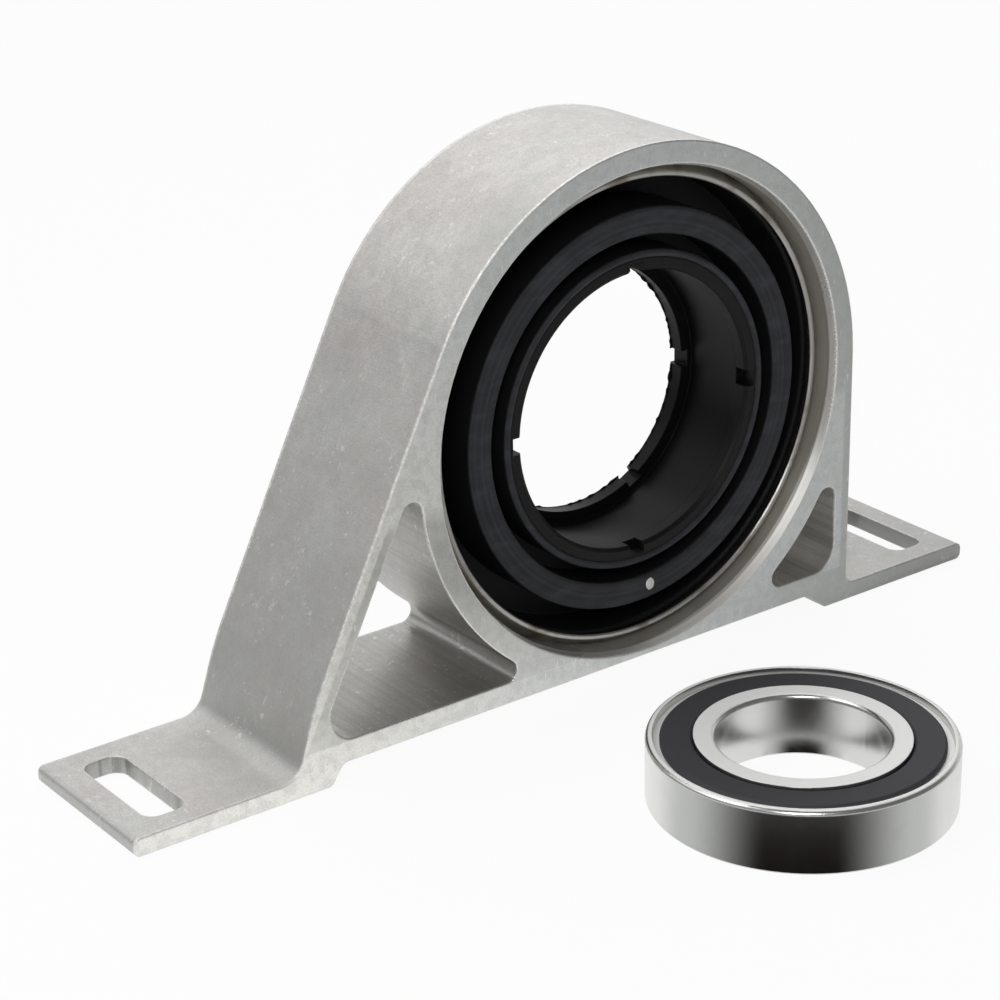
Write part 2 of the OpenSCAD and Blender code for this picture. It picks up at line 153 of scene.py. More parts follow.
class Graph:
    """Node tree of a material or of the world, filled by expressions."""

    def __init__(self, tree: bpy.types.NodeTree) -> None:
        """Empties the tree and keeps it."""
        self.tree = tree
        tree.nodes.clear()

    def add(
        self,
        kind: str,
        settings: dict[str, object] | None = None,
        inputs: dict[str | int, object] | None = None,
        out: str | int = 0,
    ) -> Wire:
        """Adds a node of any kind.

        Args:
            kind: Blender's type of the node.
            settings: Properties of the node, set first.
            inputs: Values or wires of its sockets, by name or number.
            out: Output to give back, by name or number.

        Returns:
            The wire of that output, or of the first input of a node that has no outputs.
        """
        node = self.tree.nodes.new(kind)
        for key, value in (settings or {}).items():
            setattr(node, key, value)
        for key, value in (inputs or {}).items():
            if isinstance(value, Wire):
                self.tree.links.new(value.socket, node.inputs[key])
            else:
                node.inputs[key].default_value = value
        return Wire(self, node.outputs[out] if node.outputs else node.inputs[0])

    def math(self, operation: str, *values: Wire | float) -> Wire:
        """Adds a Math node for one operation."""
        return self.add("ShaderNodeMath", {"operation": operation}, dict(enumerate(values)))

    def vector(self, operation: str, *values: Wire, out: str = "Vector") -> Wire:
        """Adds a Vector Math node for one operation."""
        return self.add("ShaderNodeVectorMath", {"operation": operation}, dict(enumerate(values)), out)

    def mix(
        self,
        factor: Wire | float,
        low: Wire | Colour,
        high: Wire | Colour,
        blend: Blend = Blend.COLOUR,
    ) -> Wire:
        """Mixes two colours or two normals.

        Args:
            factor: Share of the second one.
            low: First one, as a colour or a wire.
            high: Second one, as a colour or a wire.
            blend: What is mixed.

        Returns:
            The mixture.
        """
        kind, first, second, out = blend.value
        low, high = (v if isinstance(v, Wire) else (*v, 1.0) for v in (low, high))
        return self.add("ShaderNodeMix", {"data_type": kind}, {0: factor, first: low, second: high}, out)

    def place(self) -> Wire:
        """Object coordinates, which are the model's own frame."""
        return self.add("ShaderNodeTexCoord", out="Object")

    def upward(self) -> Wire:
        """How far the surface faces up, from -1 to 1."""
        _, _, up = self.parts(self.add("ShaderNodeTexCoord", out="Normal"))
        return up

    def plain_normal(self) -> Wire:
        """Normal of the mesh itself."""
        return self.add("ShaderNodeNewGeometry", out="Normal")

    def parts(self, vector: Wire) -> tuple[Wire, Wire, Wire]:
        """The three parts of a vector."""
        split = self.add("ShaderNodeSeparateXYZ", None, {0: vector})
        return split, split.other("Y"), split.other("Z")

    def join(self, x: Wire | float, y: Wire | float, z: Wire | float) -> Wire:
        """A vector of three parts."""
        return self.add("ShaderNodeCombineXYZ", None, {0: x, 1: y, 2: z})

    def noise(self, at: Wire, size: float, detail: float = 2.0, stretch: Triple | None = None) -> Wire:
        """Cloudy noise from 0 to 1.

        Args:
            at: Coordinates.
            size: Size of its spots.
            detail: Number of finer layers.
            stretch: How much longer the spots are along each axis.

        Returns:
            The noise.
        """
        if stretch is not None:
            scale = Vector(1.0 / s for s in stretch)
            at = self.add("ShaderNodeMapping", None, {"Vector": at, "Scale": scale})
        return self.add("ShaderNodeTexNoise", None, {"Vector": at, "Scale": 1.0 / size, "Detail": detail})

    def soft_edges(self, radius: float, turned_off: Span = (0.01, 0.16)) -> tuple[Wire, Wire]:
        """Rounded normal near edges, and a mask of those edges.

        Args:
            radius: Reach of the rounding from an edge.
            turned_off: How far the normal is turned off where the mask starts and where it is full.

        Returns:
            The normal, and a mask that is 1 on the edge itself.
        """
        normal = self.add("ShaderNodeBevel", {"samples": 6}, {"Radius": radius})
        along = self.vector("DOT_PRODUCT", normal, self.plain_normal(), out="Value")
        return normal, (1 - along).rise(*turned_off)

    def bump(self, height: Wire, depth: float, normal: Wire) -> Wire:
        """Normal of a surface with a fine relief.

        Args:
            height: Relief, from 0 to 1.
            depth: Depth of the relief.
            normal: Normal of the smooth surface.

        Returns:
            The bumped normal.
        """
        return self.add("ShaderNodeBump", None, {"Distance": depth, "Height": height, "Normal": normal})

    def shine(self, colour: Wire, roughness: Wire, normal: Wire, **more: Wire | float) -> Wire:
        """Principled surface.

        Args:
            colour: Base colour.
            roughness: Roughness.
            normal: Normal.
            more: Other sockets by name, with _ for a space.

        Returns:
            The surface.
        """
        sockets = {"Base Color": colour, "Roughness": roughness, "Normal": normal}
        sockets |= {key.replace("_", " "): value for key, value in more.items()}
        return self.add("ShaderNodeBsdfPrincipled", None, sockets)


@dataclass(frozen=True)
class Ring:
    """Axis of the rings that a finish follows."""

    around: Around
    centre: Vector

    def radius(self, graph: Graph, at: Wire) -> tuple[Wire, Wire]:
        """Distance from the axis, and place along it.

        Args:
            graph: Graph to build in.
            at: Object coordinates.

        Returns:
            The distance and the place along the axis.
        """
        x, y, z = graph.parts(at)
        side = x - self.centre.x
        if self.around is Around.SHAFT:
            along, across = y, z - self.centre.z
        else:
            along, across = z, y - self.centre.y
        return (side * side + across * across) ** 0.5, along

    def turned(self, graph: Graph, at: Wire, size: float) -> Wire:
        """Fine lines around the axis, as a lathe or a grinding wheel leaves them.

        Args:
            graph: Graph to build in.
            at: Object coordinates.
            size: Width of the lines.

        Returns:
            The lines, from 0 to 1.
        """
        radius, along = self.radius(graph, at)
        return graph.noise(graph.join(radius, along, 0.0), size)


@dataclass(frozen=True)
class Mark:
    """Marks that show where a noise is high: where they start and are full, and their share."""

    low: float
    high: float
    share: float = 1.0

    def on(self, noise: Wire) -> Wire:
        """The marks on a noise."""
        return noise.rise(self.low, self.high) * self.share


@dataclass(frozen=True)
class Finish:
    """What every finish has: a name and a surface."""

    name: str

    def surface(self, graph: Graph) -> Wire:
        """Surface of the finish, which each finish builds by itself."""
        raise NotImplementedError

    def material(self) -> bpy.types.Material:
        """Material with this finish.

        Returns:
            The new material.
        """
        material = bpy.data.materials.new(self.name)
        material.use_nodes = True
        graph = Graph(material.node_tree)
        graph.add("ShaderNodeOutputMaterial", None, {"Surface": self.surface(graph)})
        return material


@dataclass(frozen=True)
class Zones:
    """Masks of the bracket's surfaces that are made in different ways or show wear, and of those that get
    painted light and painted shade.

    Attributes:
        cut: Saw-cut end faces.
        paler: Lower left of the bracket, where those faces get painted light that makes them paler.
        burr: Strip behind each end face, faint near the feet.
        mouth: Wall and lead-in of the bore.
        lead: Depth of the lead-in.
        scraped: Part of the lead-in that is scraped wider, at the lower right.
        window: Insides of both windows.
        left_window: Inside of the left window, and a little of the right one.
        slot: Walls of the foot slots.
        painted_shade: Painted shade that darkens the right side of the bracket and its low, steep flanks.
    """

    cut: Wire
    paler: Wire
    burr: Wire
    mouth: Wire
    lead: Wire
    scraped: Wire
    window: Wire
    left_window: Wire
    slot: Wire
    painted_shade: Wire


@dataclass(frozen=True)
class BracketMap:
    """Where the bracket's surfaces are cut, turned, scraped or streaked, and where painted light and painted
    shade go.

    A pair gives where a mask starts and where it ends: along an axis, behind an end face (named in),
    past the bore's wall (mouth_w) or by how far the surface faces up or down (named up).
    """

    bore: Ring
    bore_r: float
    half_depth: float
    soft: float = 0.5 * MM
    cut_in: Span = (0.2 * MM, 0.05 * MM)
    # Lower left of the cut faces, which gets painted light.
    painted_light_x: Span = (-130 * MM, 20 * MM)
    painted_light_z: Span = (60 * MM, 180 * MM)
    burr_in: Span = (1.3 * MM, 0.52 * MM)
    burr_z: Span = (10 * MM, 40 * MM)
    burr_least: float = 0.3
    mouth_w: Span = (1.0 * MM, 1.2 * MM)
    lead_in: Span = (2.9 * MM, 2.7 * MM)
    scraped_x: Span = (-15 * MM, 25 * MM)
    scraped_z: Span = (40 * MM, 78 * MM)
    scraped_more: float = 1.2 * MM
    leg_lean: float = 26.5
    leg_mid: float = 82.0 * MM
    web_top: float = 13.1 * MM
    window_z: Span = (72.5 * MM, 77.5 * MM)
    right_x: Span = (0.0, 40 * MM)
    right_less: float = 0.9
    foot_t: float = 5.6 * MM
    slot_in_x: float = 110.0 * MM
    slot_out_x: Span = (-179.0 * MM, 132.0 * MM)
    slot_half: float = 20.5 * MM
    slot_up: Span = (0.2, 0.5)
    slot_end_y: Span = (11 * MM, 14 * MM)
    slot_least: float = 0.2
    slot_end_more: float = 0.6
    # Painted shade on the right side and on the low, steep flanks.
    painted_shade_x: Span = (20 * MM, 130 * MM)
    painted_shade_z: Span = (20 * MM, 110 * MM)
    painted_shade_up: Span = (0.5, 0.8)
    painted_shade_right: float = 0.4
    painted_shade_right_cut: float = 0.45
    painted_shade_steep: float = 0.45

    def masks(self, graph: Graph, at: Wire) -> Zones:
        """Masks of the cut faces, the bore, the windows and the slots.

        Args:
            graph: Graph to build in.
            at: Object coordinates.

        Returns:
            The masks.
        """
        x, y, z = graph.parts(at)
        end, facing = abs(y), abs(graph.upward())
        radius, _ = self.bore.radius(graph, at)
        mouth = 1 - radius.rise(*(self.bore_r + past for past in self.mouth_w))
        corner = x.rise(*self.scraped_x) * (1 - z.rise(*self.scraped_z))
        lead = self.behind_end(end + corner * self.scraped_more, self.lead_in)
        cut = self.behind_end(end, self.cut_in)
        window = self.window(graph, x, z)
        # Painted shade: darker to the right, and on steep skin low down.
        right, low = x.rise(*self.painted_shade_x), 1 - z.rise(*self.painted_shade_z)
        steep = 1 - facing.rise(*self.painted_shade_up)
        painted_shade = right * self.painted_shade_right + cut * right * self.painted_shade_right_cut
        painted_shade = painted_shade + steep * low * (1 - cut) * self.painted_shade_steep
        return Zones(
            cut=cut,
            # Painted light on the lower left.
            paler=(1 - z.rise(*self.painted_light_z)) * (1 - x.rise(*self.painted_light_x)),
            burr=self.behind_end(end, self.burr_in)
            * (self.burr_least + z.rise(*self.burr_z) * (1 - self.burr_least)),
            mouth=mouth,
            lead=lead,
            scraped=lead * corner * mouth,
            window=window,
            left_window=window * (1 - x.rise(*self.right_x) * self.right_less),
            slot=self.slot_walls(x, z, end, facing),
            painted_shade=(1 - window) * painted_shade,
        )

    def behind_end(self, end: Wire, depths: Span) -> Wire:
        """Step between two depths behind an end face."""
        return end.rise(*(self.half_depth - depth for depth in depths))

    def window(self, graph: Graph, x: Wire, z: Wire) -> Wire:
        """Mask of the insides of both windows, between the legs and above the web.

        Args:
            graph: Graph to build in.
            x: Place along the feet.
            z: Height.

        Returns:
            The mask.
        """
        lean = math.radians(self.leg_lean)
        left = (z - self.bore.centre.z) * math.sin(lean) - x * math.cos(lean)
        reach = graph.math("MAXIMUM", left, x)
        between = 1 - reach.rise(self.leg_mid - self.soft, self.leg_mid + self.soft)
        return between * (1 - z.rise(*self.window_z)) * z.rise(self.web_top - self.soft, self.web_top)

    def slot_walls(self, x: Wire, z: Wire, end: Wire, facing: Wire) -> Wire:
        """Mask of the walls of both foot slots, which is strongest at their round ends.

        Args:
            x: Place along the feet.
            z: Height.
            end: Distance from the middle along the shaft.
            facing: How far the surface faces up or down.

        Returns:
            The mask.
        """
        left, right = self.slot_out_x
        foot = (1 - z.rise(self.foot_t, self.foot_t + self.soft)) * (1 - facing.rise(*self.slot_up))
        foot = foot * abs(x).rise(self.slot_in_x - self.soft, self.slot_in_x)
        foot = foot * x.rise(left - self.soft, left) * (1 - x.rise(right, right + self.soft))
        within = 1 - end.rise(self.slot_half, self.slot_half + self.soft)
        return foot * within * (self.slot_least + end.rise(*self.slot_end_y) * self.slot_end_more)


@dataclass(frozen=True)
class AlloyTexture:
    """Noises that the marks on the alloy follow, from 0 to 1."""

    grain: Wire
    speck: Wire
    mottle: Wire
    blotch: Wire
    cloud: Wire
    patch: Wire
    lines: Wire
    scores: Wire
    bands: Wire
    nicks: Wire
    rubs: Wire
    scrapes: Wire
    spark: Wire
    rings: Wire

    @classmethod
    def over(cls, graph: Graph, at: Wire, bore: Ring) -> "AlloyTexture":
        """Lays the noises over the bracket, each with the size of its spots.

        Args:
            graph: Graph to build in.
            at: Object coordinates.
            bore: Axis of the bore, which the turning rings follow.

        Returns:
            The noises.
        """
        along_die, up_slot = (1, 60, 1), (1, 1, 40)
        return cls(
            grain=graph.noise(at, 0.55 * MM),
            speck=graph.noise(at, 0.65 * MM, 3.0),
            mottle=graph.noise(at, 3 * MM),
            blotch=graph.noise(at, 8 * MM),
            cloud=graph.noise(at, 24 * MM, 4.0),
            patch=graph.noise(at, 55 * MM, 3.0),
            lines=graph.noise(at, 1.1 * MM, 3.0, along_die),
            scores=graph.noise(at, 2.2 * MM, 2.0, along_die),
            bands=graph.noise(at, 3 * MM, 2.0, up_slot),
            nicks=graph.noise(at, 0.55 * MM, 1.0, (1, 2, 7)),
            rubs=graph.noise(at, 1.7 * MM, 2.0, (1, 1.5, 2.5)),
            scrapes=graph.noise(at, 9 * MM),
            spark=graph.noise(at, 1.0 * MM),
            rings=bore.turned(graph, at, 0.3 * MM),
        )


@dataclass(frozen=True)
class AlloyFinish(Finish):
    """Extruded and tumbled light alloy with saw-cut ends and a turned bore."""

    where: BracketMap
    edge_r: float = 1.0 * MM
    skin: Colour = (0.710, 0.702, 0.680)
    blush: Colour = (0.690, 0.655, 0.633)
    shade: Colour = (0.430, 0.435, 0.422)
    # Dark pits and bands, and the painted shade in the left window.
    pit_and_painted_shade: Colour = (0.270, 0.265, 0.245)
    cut: Colour = (0.660, 0.685, 0.678)
    # Pale colour of the painted light on the lower left cut faces.
    painted_light_cut: Colour = (0.960, 0.950, 0.905)
    # Bare metal flecks, and the painted light and painted highlights that use the same colour.
    fleck_and_painted_light: Colour = (0.970, 0.955, 0.915)
    wall: Colour = (0.600, 0.578, 0.530)
    lead: Colour = (0.880, 0.865, 0.820)
    # Marks on the skin, with painted light in the right window and painted shade in the left window
    blushes: Mark = Mark(0.35, 0.68)
    patches: Mark = Mark(0.42, 0.72, 0.40)
    mottles: Mark = Mark(0.35, 0.65, 0.16)
    blotches: Mark = Mark(0.35, 0.65, 0.14)
    grains: Mark = Mark(0.35, 0.75, 0.42)
    die_lines: Mark = Mark(0.42, 0.62, 0.05)
    window_scores: Mark = Mark(0.42, 0.62, 0.45)
    slot_bands: Mark = Mark(0.42, 0.58)
    right_window_painted_light: float = 0.35
    left_window_painted_shade: float = 0.35
    # Marks on the cut faces, painted light on their lower left, and marks in the bore
    face_specks: Mark = Mark(0.42, 0.66, 0.22)
    face_mottles: Mark = Mark(0.40, 0.65, 0.20)
    painted_light_share: float = 0.8
    painted_light_specks: float = 0.4
    bore_rings: Mark = Mark(0.40, 0.70, 0.35)
    # Edges painted bright, partly bare metal from wear and partly painted highlight; the burr behind the
    # cut, nicks and rubs
    edge_least: float = 0.35
    edge_sparks: Mark = Mark(0.35, 0.60, 0.50)
    burr_least: float = 0.4
    burr_sparks: Mark = Mark(0.40, 0.64, 0.60)
    burr_whole: Mark = Mark(0.28, 0.40)
    burr_pits: float = 0.22
    nicks: Mark = Mark(0.66, 0.76, 0.55)
    nicked: Mark = Mark(0.48, 0.60)
    rubs: Mark = Mark(0.60, 0.74, 0.40)
    rubbed: Mark = Mark(0.46, 0.62)
    # Roughness and shine
    rough: float = 0.42
    grain_rough: float = 0.14
    patch_rough: float = 0.08
    scraped_rough: float = 0.22
    bright_gloss: float = 0.08
    window_gloss: float = 0.20
    bore_gloss: float = 0.15
    lead_gloss: float = 0.06
    metal: float = 0.92
    burr_matt: float = 0.45
    bore_matt: float = 0.25
    # Relief
    relief: float = 0.07 * MM
    line_relief: float = 0.6
    ring_relief: float = 0.5
    scraped_slope: float = 0.40

    def surface(self, graph: Graph) -> Wire:
        """Surface with grain, die lines, cut faces, bright edges and flecks, with painted light, painted
        shade and painted highlights.
        """
        at = graph.place()
        zones = self.where.masks(graph, at)
        texture = AlloyTexture.over(graph, at, self.where.bore)
        normal, edge = graph.soft_edges(self.edge_r)
        burr = zones.burr * (1 - zones.cut)
        pits = burr * (1 - self.burr_whole.on(texture.spark)) * self.burr_pits
        burr = burr * (self.burr_least + self.burr_sparks.on(texture.spark))
        bright = self.brightness(graph, texture, edge, burr)

        colour = self.skin_colour(graph, zones, texture)
        colour = graph.mix(zones.cut, colour, self.face_colour(graph, zones, texture))
        # Painted shade on the right side and the low flanks.
        colour = graph.mix(zones.painted_shade, colour, self.shade)
        # Painted shade inside the left window.
        colour = graph.mix(zones.left_window * self.left_window_painted_shade, colour, self.pit_and_painted_shade)
        colour = graph.mix(pits, colour, self.pit_and_painted_shade)
        # Bare metal on burr, nicks and rubs; painted highlight on the edges.
        colour = graph.mix(bright, colour, self.fleck_and_painted_light)
        colour = graph.mix(zones.mouth, colour, self.bore_colour(graph, zones, texture))

        relief = texture.grain * (1 - zones.mouth) + texture.lines * (1 - zones.cut) * self.line_relief
        relief = relief + texture.rings * zones.mouth * self.ring_relief
        normal = graph.bump(relief, self.relief, self.scraped_normal(graph, at, zones, normal))
        metal = self.metal - burr * self.burr_matt - zones.mouth * self.bore_matt
        return graph.shine(colour, self.roughness(zones, texture, bright), normal, Metallic=metal)

    def skin_colour(self, graph: Graph, zones: Zones, texture: AlloyTexture) -> Wire:
        """Colour of the extruded skin, with the streaked windows, painted light in the right window, and the
        banded slots.

        Args:
            graph: Graph to build in.
            zones: Masks of the bracket.
            texture: Noises over the bracket.

        Returns:
            The colour.
        """
        colour = graph.mix(self.blushes.on(texture.cloud), self.skin, self.blush)
        colour = graph.mix(self.patches.on(texture.patch), colour, self.shade)
        uneven = self.mottles.on(texture.mottle) + self.blotches.on(texture.blotch)
        colour = graph.mix(uneven + self.grains.on(texture.grain), colour, self.shade)
        right_window = zones.window - zones.left_window
        # Painted light: the inside of the right window is paler.
        colour = graph.mix(right_window * self.right_window_painted_light, colour, self.fleck_and_painted_light)
        streaks = self.die_lines.on(texture.lines) + zones.window * self.window_scores.on(texture.scores)
        colour = graph.mix(streaks, colour, self.shade)
        return graph.mix(zones.slot * self.slot_bands.on(texture.bands), colour, self.pit_and_painted_shade)

    def face_colour(self, graph: Graph, zones: Zones, texture: AlloyTexture) -> Wire:
        """Colour of the saw-cut faces, with painted light on their lower left.

        Args:
            graph: Graph to build in.
            zones: Masks of the bracket.
            texture: Noises over the bracket.

        Returns:
            The colour.
        """
        # Painted light: the lower left of the cut faces is paler.
        paler = zones.paler * (self.painted_light_share + texture.speck * self.painted_light_specks)
        face = graph.mix(paler, self.cut, self.painted_light_cut)
        dirt = self.face_specks.on(texture.speck) + self.face_mottles.on(texture.mottle)
        return graph.mix(dirt, face, self.shade)

    def bore_colour(self, graph: Graph, zones: Zones, texture: AlloyTexture) -> Wire:
        """Colour of the turned bore and its lead-in."""
        bore = graph.mix(zones.lead, self.wall, self.lead)
        return graph.mix(self.bore_rings.on(texture.rings), bore, self.shade)

    def brightness(self, graph: Graph, texture: AlloyTexture, edge: Wire, burr: Wire) -> Wire:
        """Mask of the bare bright metal on burr, nicks and rubs, and of edges painted bright, partly bare
        metal and partly painted highlight.

        Args:
            graph: Graph to build in.
            texture: Noises over the bracket.
            edge: Mask of the edges.
            burr: Mask of the burr.

        Returns:
            The mask.
        """
        edge = edge * (self.edge_least + self.edge_sparks.on(texture.spark))
        nicks = self.nicks.on(texture.nicks) * self.nicked.on(texture.scrapes)
        rubs = self.rubs.on(texture.rubs) * self.rubbed.on(texture.scrapes)
        return graph.math("MAXIMUM", graph.math("MAXIMUM", edge, burr), graph.math("MAXIMUM", nicks, rubs))

    def roughness(self, zones: Zones, texture: AlloyTexture, bright: Wire) -> Wire:
        """Roughness of the skin, the windows, the bore and its scraped lead-in.

        Args:
            zones: Masks of the bracket.
            texture: Noises over the bracket.
            bright: Mask of the bare bright metal and of the edges with a painted highlight.

        Returns:
            The roughness.
        """
        rough = self.rough + texture.grain * self.grain_rough + texture.patch * self.patch_rough
        rough = rough - bright * self.bright_gloss - zones.left_window * self.window_gloss
        rough = rough - zones.mouth * (self.bore_gloss + zones.lead * self.lead_gloss)
        return rough + zones.scraped * self.scraped_rough

    def scraped_normal(self, graph: Graph, at: Wire, zones: Zones, normal: Wire) -> Wire:
        """Normal that leans out of the bore where the lead-in is scraped.

        Args:
            graph: Graph to build in.
            at: Object coordinates.
            zones: Masks of the bracket.
            normal: Normal with rounded edges.

        Returns:
            The normal.
        """
        _, y, _ = graph.parts(at)
        outwards = graph.join(0.0, y * (self.scraped_slope / self.where.half_depth), 0.0)
        leaning = graph.vector("ADD", graph.plain_normal(), outwards)
        return graph.vector("NORMALIZE", graph.mix(zones.scraped, normal, leaning, Blend.NORMAL))


@dataclass(frozen=True)
class SteelFinish(Finish):
    """Turned, rolled or ground steel with fine lines around its axis."""

    ring: Ring
    base: Colour
    tint: Colour
    tint_share: float
    rough: float
    satin: float = 0.0
    satin_base: Colour = (0.90, 0.90, 0.885)
    satin_up: Span = (0.8, 0.98)
    satin_rough: float = 0.3
    satin_matt: float = 0.8
    edge_r: float = 0.4 * MM
    edge_gloss: float = 0.05
    relief: float = 0.006 * MM
    line_w: float = 0.18 * MM
    lines: Mark = Mark(0.5, 0.8, 0.12)
    line_rough: float = 0.06
    stain_w: float = 9 * MM
    stain_detail: float = 3.0
    stains: Mark = Mark(0.5, 0.72)
    stain_rough: float = 0.15

    def surface(self, graph: Graph) -> Wire:
        """Surface with lines around the axis, a soft tint and satin end faces."""
        at = graph.place()
        normal, edge = graph.soft_edges(self.edge_r)
        lines = self.ring.turned(graph, at, self.line_w)
        stain = self.stains.on(graph.noise(at, self.stain_w, self.stain_detail)) * self.tint_share
        ends = abs(graph.upward()).rise(*self.satin_up) * self.satin
        colour = graph.mix(stain, self.base, self.tint)
        colour = graph.mix(ends, colour, self.satin_base)
        colour = graph.mix(self.lines.on(lines), colour, self.tint)
        rough = self.rough + lines * self.line_rough + stain * self.stain_rough
        rough = rough - edge * self.edge_gloss + ends * self.satin_rough
        normal = graph.bump(lines, self.relief, normal)
        return graph.shine(colour, rough, normal, Metallic=1 - ends * self.satin_matt)


@dataclass(frozen=True)
class RubberFinish(Finish):
    """Moulded black rubber or plastic, a little greyer where it is rubbed, with a painted highlight on its
    edges.
    """

    ring: Ring
    base: Colour
    rubbed: Colour
    rubbed_along: Span
    rough: float
    gloss: float = 0.3
    edge_r: float = 0.5 * MM
    # Share of the painted highlight on the edges.
    painted_edge_highlight: float = 0.8
    edge_gloss: float = 0.1
    relief: float = 0.03 * MM
    grain_w: float = 0.5 * MM
    grain_rough: float = 0.12
    scuff_w: float = 3.5 * MM
    scuff_detail: float = 4.0
    scuff_stretch: Triple = (3, 1, 1)
    scuffs: Mark = Mark(0.4, 0.75, 0.4)
    scuff_rough: float = 0.1
    wipe_w: float = 0.7 * MM
    wipes: Mark = Mark(0.4, 0.7, 0.3)
    bloom_w: float = 14 * MM
    bloom_share: float = 0.3
    worn_least: float = 0.3

    def surface(self, graph: Graph) -> Wire:
        """Surface with a fine grain, scuffs and edges lightened by a painted highlight."""
        at = graph.place()
        normal, edge = graph.soft_edges(self.edge_r)
        _, along = self.ring.radius(graph, at)
        front = 1 - along.rise(*self.rubbed_along)
        grain = graph.noise(at, self.grain_w)
        scuff = graph.noise(at, self.scuff_w, self.scuff_detail, self.scuff_stretch)
        bloom = graph.noise(at, self.bloom_w)
        wipes = self.wipes.on(self.ring.turned(graph, at, self.wipe_w))
        paler = front * (self.worn_least + self.scuffs.on(scuff) + wipes + bloom * self.bloom_share)
        # The rubbed front is paler from wear; the edges get a painted highlight.
        colour = graph.mix(paler + edge * self.painted_edge_highlight, self.base, self.rubbed)
        rough = self.rough + grain * self.grain_rough - edge * self.edge_gloss
        rough = rough + front * scuff * self.scuff_rough
        normal = graph.bump(grain, self.relief, normal)
        return graph.shine(colour, rough, normal, Specular_IOR_Level=self.gloss)


@dataclass(frozen=True)
class PaintFinish(Finish):
    """Brushed-on marking paint."""

    base: Colour = (0.80, 0.80, 0.78)
    thin: Colour = (0.62, 0.62, 0.60)
    cover_w: float = 0.9 * MM
    thin_spots: Mark = Mark(0.5, 0.8)
    rough: float = 0.45
    cover_rough: float = 0.2
    relief: float = 0.03 * MM

    def surface(self, graph: Graph) -> Wire:
        """Surface with uneven cover."""
        cover = graph.noise(graph.place(), self.cover_w)
        colour = graph.mix(self.thin_spots.on(cover), self.base, self.thin)
        normal = graph.bump(cover, self.relief, graph.plain_normal())
        return graph.shine(colour, self.rough + cover * self.cover_rough, normal)


class Piece:
    """New piece of the model, from a finished bmesh."""

    def __init__(self, name: str, mesh: bmesh.types.BMesh, material: bpy.types.Material, slot: Slot) -> None:
        """Makes the object and lets it ride on the bracket's body.

        Args:
            name: Name of the piece.
            mesh: Its shape, in the model's frame.
            material: Its finish.
            slot: Slot of the record that it takes its finish from; not used.
        """
        data = bpy.data.meshes.new(name)
        for face in mesh.faces:
            face.smooth = True
        mesh.to_mesh(data)
        mesh.free()
        data.materials.append(material)
        self.object = bpy.data.objects.new(name, data)
        bpy.context.scene.collection.objects.link(self.object)
        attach(self.object, Body.MOUNTING.value)
        LOG.info("%s: %d faces", name, len(data.polygons))


def dress(node: str, material: bpy.types.Material) -> None:
    """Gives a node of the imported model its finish.

    Args:
        node: Name of the node.
        material: Its finish.
    """
    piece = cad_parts[node]
    piece.data.materials.clear()
    piece.data.materials.append(material)
    LOG.info("%s: dressed in %s", node, material.name)


@dataclass
class Bracket:
    """Extruded bracket, with the sizes that its finish follows."""

    bore: Ring
    bore_r: float
    half_depth: float

    @classmethod
    def from_frame(cls) -> "Bracket":
        """Reads the bore from the sleeve that fills it, and the depth from the bracket.

        Returns:
            The bracket.
        """
        low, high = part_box("outer_sleeve")
        centre = (low + high) / 2
        bore = Ring(Around.SHAFT, Vector((centre.x, 0, centre.z)))
        return cls(bore, high.x - centre.x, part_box("bracket")[1].y)

    def build(self) -> None:
        """Dresses the bracket."""
        finish = AlloyFinish("tumbled_alloy", BracketMap(self.bore, self.bore_r, self.half_depth))
        dress("bracket", finish.material())


